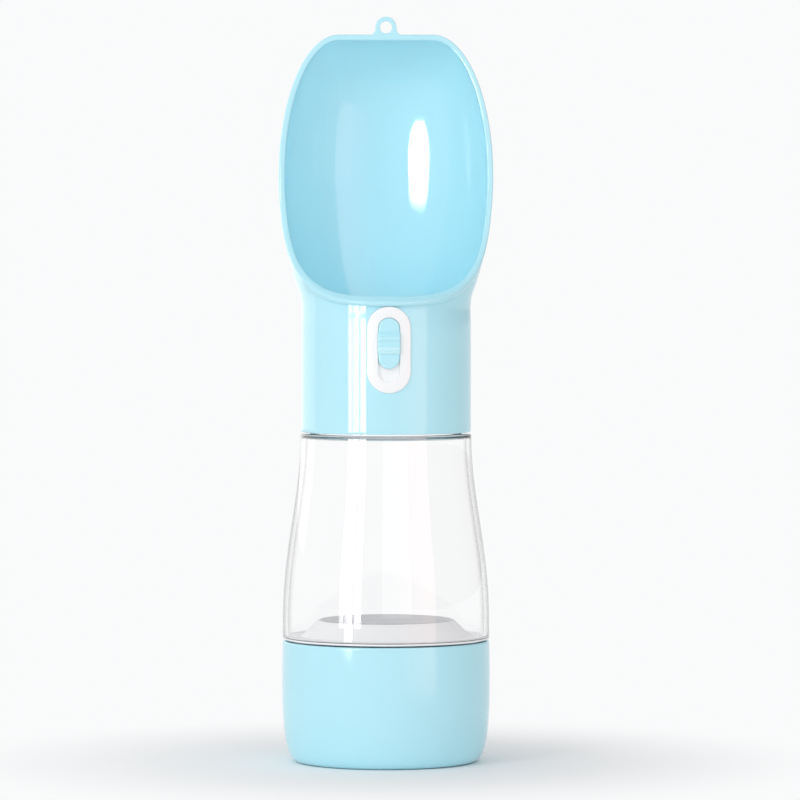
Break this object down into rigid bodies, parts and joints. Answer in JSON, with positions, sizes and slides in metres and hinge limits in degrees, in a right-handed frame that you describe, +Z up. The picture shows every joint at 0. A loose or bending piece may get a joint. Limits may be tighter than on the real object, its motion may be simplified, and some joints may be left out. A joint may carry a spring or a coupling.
{
  "type": "dog travel water bottle",
  "caption": "Dog travel water bottle: scoop drinking bowl with lanyard loop and slide valve, screwed onto a clear bottle with a screw-on food cup below.",
  "frame": {"origin": "centre of the flat foot ring under the food cup", "axes": "+Z up along the bottle's axis, -Y the way the bowl opens and the switch faces, +X to the right seen from the front"},
  "size_m": [0.0776, 0.0754, 0.2695],
  "materials": {
    "blue_plastic": "glossy moulded",
    "white_plastic": "semi-gloss moulded",
    "inner_plastic": "satin moulded",
    "clear_plastic": "clear glossy",
    "silicone": "translucent matte",
    "o_ring_rubber": "matte"
  },
  "bodies": {
    "bottle": {"water_bottle": "clear_plastic"},
    "head_carriage": {"neck_gasket": "silicone"},
    "head": {"head_shell": "blue_plastic", "switch_bezel": "white_plastic", "valve_deck": "inner_plastic", "gland_cap": "inner_plastic", "stem_o_ring": "o_ring_rubber", "outlet_tube": "inner_plastic"},
    "slider": {"slide_button": "blue_plastic", "slide_carrier": "inner_plastic", "valve_stem": "inner_plastic", "valve_plug": "silicone"},
    "cup_carriage": {"cup_gasket": "silicone"},
    "cup": {"food_cup": "blue_plastic"}
  },
  "joints": [
    {"name": "head_lift", "type": "slide", "parent": "bottle", "child": "head_carriage", "axis": [0, 0, 1], "range_m": [0, 0.01126]},
    {"name": "head_turn", "type": "hinge", "parent": "head_carriage", "child": "head", "pos_m": [0, 0, 0.125], "axis": [0, 0, 1], "range_deg": [0, 900]},
    {"name": "valve_slide", "type": "slide", "parent": "head", "child": "slider", "axis": [0, 0, -1], "range_m": [0, 0.0046]},
    {"name": "cup_drop", "type": "slide", "parent": "bottle", "child": "cup_carriage", "axis": [0, 0, -1], "range_m": [0, 0.00901]},
    {"name": "cup_turn", "type": "hinge", "parent": "cup_carriage", "child": "cup", "pos_m": [0, 0, 0.038], "axis": [0, 0, -1], "range_deg": [0, 810]}
  ],
  "couplings": [
    {"joint": "head_lift", "follows": "head_turn", "m_per_rad": 0.0007162},
    {"joint": "cup_drop", "follows": "cup_turn", "m_per_rad": 0.00063662}
  ]
}
